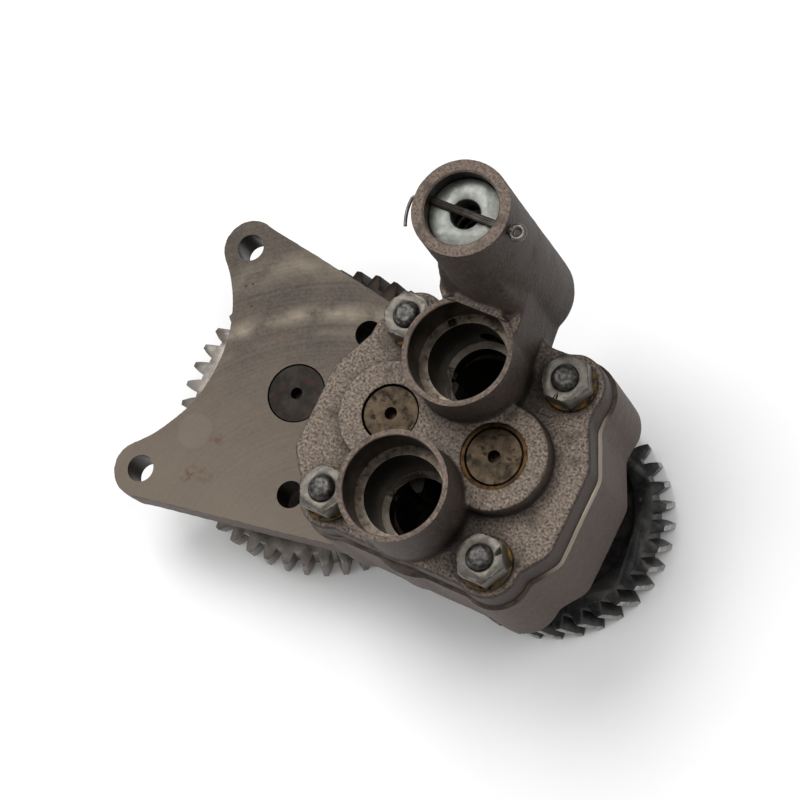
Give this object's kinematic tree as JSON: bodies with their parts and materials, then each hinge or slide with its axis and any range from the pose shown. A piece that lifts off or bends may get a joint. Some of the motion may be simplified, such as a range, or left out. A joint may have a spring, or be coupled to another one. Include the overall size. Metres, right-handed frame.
{
  "type": "engine oil pump",
  "caption": "Gear oil pump for a diesel engine, with an eared mounting plate, helical idler and drive gears, pipe sockets and a spring-loaded relief valve.",
  "frame": {"origin": "midway between the two ear bolt holes, on the plane of the mounting pads behind the plate", "axes": "+X runs from the ears to the drive shaft, +Z along the shafts from the timing gears to the pipe sockets, +Y towards the relief valve"},
  "size_m": [0.213, 0.1454, 0.172],
  "materials": {
    "body_casting": "machined plate face, cast sides, oiled",
    "cover_casting": "sand cast, shot blasted",
    "stud_steel": "blackened",
    "zinc_steel": "zinc plated",
    "bright_steel": "ground",
    "bronze": "bored bronze",
    "oiled_steel": "ground and oily",
    "dark_steel": "oiled, dark",
    "spring_steel": "oil tempered",
    "gear_steel": "hobbed teeth",
    "dark_gear_steel": "case hardened, dark"
  },
  "bodies": {
    "casing": {"pump_body": "body_casting", "pump_cover": "cover_casting", "cover_studs": "stud_steel", "cover_washers": "zinc_steel", "cover_nuts": "zinc_steel", "cover_dowels": "bright_steel", "cover_bush": "bronze", "body_bush": "bronze", "driven_spindle": "oiled_steel", "idler_shaft": "dark_steel", "idler_front_washer": "bright_steel", "idler_back_washer": "bright_steel", "idler_clip": "spring_steel", "relief_cap": "bright_steel", "relief_spring": "spring_steel", "relief_split_pin": "bright_steel"},
    "drive_line": {"drive_shaft": "oiled_steel", "pump_gear_key": "bright_steel", "drive_gear_key": "bright_steel", "pump_driving_gear": "gear_steel", "drive_gear": "dark_gear_steel", "drive_gear_washer": "spring_steel", "drive_gear_nut": "zinc_steel"},
    "driven": {"pump_driven_gear": "gear_steel", "driven_gear_bush": "bronze"},
    "idler": {"idler_gear": "gear_steel", "idler_bush": "bronze"},
    "plunger": {"relief_plunger": "bright_steel"}
  },
  "joints": [
    {"name": "drive_spin", "type": "hinge", "parent": "casing", "child": "drive_line", "pos_m": [0.15053, 0.0024, 0], "axis": [0, 0, 1], "continuous": true},
    {"name": "driven_spin", "type": "hinge", "parent": "casing", "child": "driven", "pos_m": [0.10733, 0.0024, 0], "axis": [0, 0, 1], "continuous": true},
    {"name": "idler_spin", "type": "hinge", "parent": "casing", "child": "idler", "pos_m": [0.0465, 0.0024, 0], "axis": [0, 0, 1], "continuous": true},
    {"name": "relief_lift", "type": "slide", "parent": "casing", "child": "plunger", "axis": [0, 0, 1], "range_m": [0, 0.011], "stiffness_N_per_m": 3000, "springref_m": -0.004, "deforming": ["relief_spring"]}
  ],
  "couplings": [
    {"joint": "driven_spin", "follows": "drive_spin", "ratio": -1},
    {"joint": "idler_spin", "follows": "drive_spin", "ratio": -0.73913}
  ]
}
